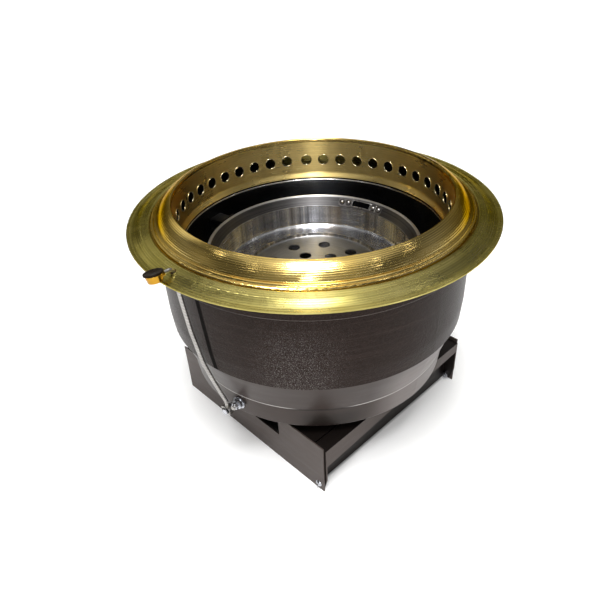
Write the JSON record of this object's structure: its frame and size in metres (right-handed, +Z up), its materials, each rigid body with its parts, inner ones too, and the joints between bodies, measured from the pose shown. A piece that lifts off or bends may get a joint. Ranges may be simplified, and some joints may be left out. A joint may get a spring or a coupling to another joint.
{
  "type": "table-recessed charcoal grill",
  "caption": "Round down-draught charcoal grill that drops into a table: flanged brass rim, perforated smoke ring, fire bowl, grate, casing, damper and square base.",
  "frame": {"origin": "on the axis of the round grill, at the mouth of the exhaust spigot, in the plane the base stands on", "axes": "+Z up along the grill's axis; -Y towards the damper knob and the front side plate; +X towards the right base channel"},
  "size_m": [0.4, 0.4131, 0.2842],
  "materials": {
    "flange_brass": "satin turned brass",
    "ring_brass": "polished spun brass, fine turning lines",
    "bush_bronze": "plain bronze",
    "barrel_paint": "hammertone dark brown",
    "drum_paint": "smooth dark brown gloss",
    "base_paint": "smooth dark brown semi-gloss",
    "deck_paint": "smooth dark brown",
    "liner_enamel": "black gloss",
    "bracket_steel": "black",
    "stainless": "brushed",
    "bowl_stainless": "spun and brushed",
    "grate_stainless": "brushed",
    "galvanised": "galvanised sheet",
    "zinc": "bright zinc plate",
    "rod_steel": "bright drawn bar",
    "knob_brass": "polished lacquered brass",
    "knob_dark": "dark brown gloss"
  },
  "bodies": {
    "casing": {"table_flange": "flange_brass", "rod_guide": "bush_bronze", "barrel_collar": "barrel_paint", "outer_barrel": "barrel_paint", "lower_drum": "drum_paint", "inner_liner": "liner_enamel", "liner_legs": "stainless", "liner_screws": "zinc", "bowl_stand": "stainless", "bowl_brackets": "bracket_steel", "base_side_plate_front": "base_paint", "base_side_plate_rear": "base_paint", "base_channel_right": "base_paint", "base_channel_left": "base_paint", "base_deck": "deck_paint", "base_bolts": "zinc", "base_nuts": "zinc", "drum_spacers": "zinc", "drum_bolts": "zinc", "drum_nuts": "zinc", "exhaust_duct": "galvanised", "shaft_bush_drum": "zinc", "shaft_bushes_duct": "bush_bronze"},
    "smoke_ring": {"smoke_ring_crown": "ring_brass", "smoke_ring_wall": "ring_brass"},
    "fire_bowl": {"fire_bowl": "bowl_stainless", "bowl_lift_brackets": "bowl_stainless", "bowl_lift_rivets": "stainless"},
    "charcoal_grate": {"charcoal_grate": "grate_stainless"},
    "damper_rod": {"damper_rod": "rod_steel", "damper_knob": "knob_brass", "knob_disc": "knob_dark", "rod_end_block": "rod_steel"},
    "damper_flap": {"damper_shaft": "rod_steel", "damper_flap": "galvanised", "flap_screws": "zinc", "damper_crank": "zinc", "crank_pin": "zinc", "shaft_nut": "zinc"}
  },
  "joints": [
    {"name": "smoke_ring_lift", "type": "slide", "parent": "casing", "child": "smoke_ring", "axis": [0, 0, 1], "range_m": [0, 0.08]},
    {"name": "fire_bowl_lift", "type": "slide", "parent": "casing", "child": "fire_bowl", "axis": [0, 0, 1], "range_m": [0, 0.12]},
    {"name": "charcoal_grate_lift", "type": "slide", "parent": "fire_bowl", "child": "charcoal_grate", "axis": [0, 0, 1], "range_m": [0, 0.06]},
    {"name": "damper_rod_slide", "type": "slide", "parent": "casing", "child": "damper_rod", "axis": [-0.083, -0.033, 0.996], "range_m": [0, 0.01497]},
    {"name": "damper_flap_turn", "type": "hinge", "parent": "casing", "child": "damper_flap", "pos_m": [0, 0, 0.095], "axis": [-0.2079, 0.9781, 0], "range_deg": [0, 65]}
  ],
  "couplings": [
    {"joint": "damper_flap_turn", "follows": "damper_rod_slide", "rad_per_m": 75.754}
  ]
}
